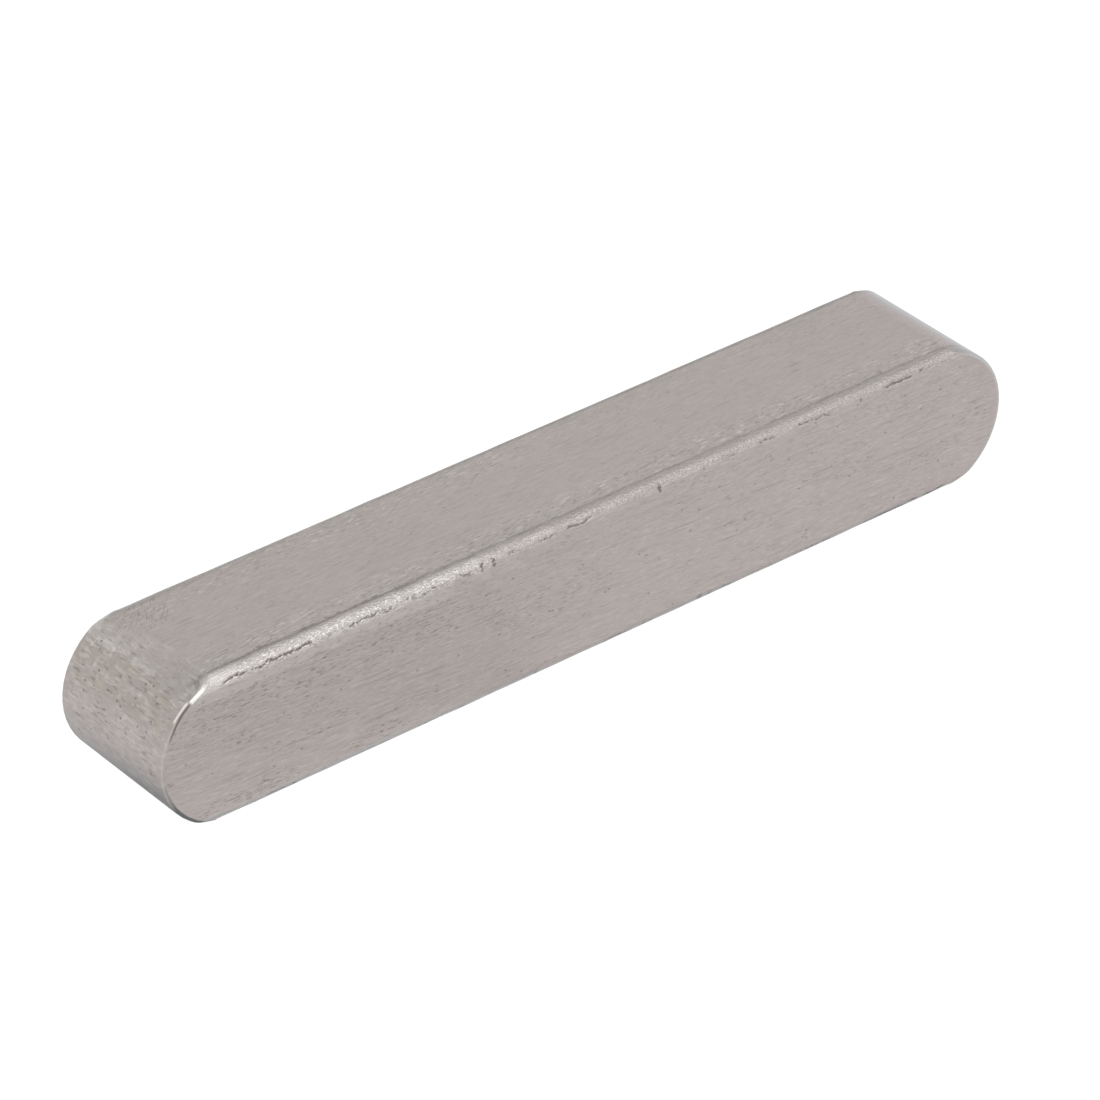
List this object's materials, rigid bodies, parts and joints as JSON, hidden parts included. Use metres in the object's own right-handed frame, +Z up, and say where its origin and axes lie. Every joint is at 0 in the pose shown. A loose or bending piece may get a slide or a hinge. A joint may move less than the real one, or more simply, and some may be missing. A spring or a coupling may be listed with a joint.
{
  "type": "parallel key",
  "caption": "Square-section parallel key with round milled ends, fitted in matching keyways to lock a hub to its shaft.",
  "frame": {"origin": "middle of the flank that the key lies on, at floor level", "axes": "+X along the key's length, +Y through its height towards the shaft seat face, +Z up, across its width from flank to flank"},
  "size_m": [0.032, 0.005, 0.005],
  "materials": {
    "key_steel": "satin"
  },
  "bodies": {
    "root": {"parallel_key": "key_steel"}
  },
  "joints": []
}
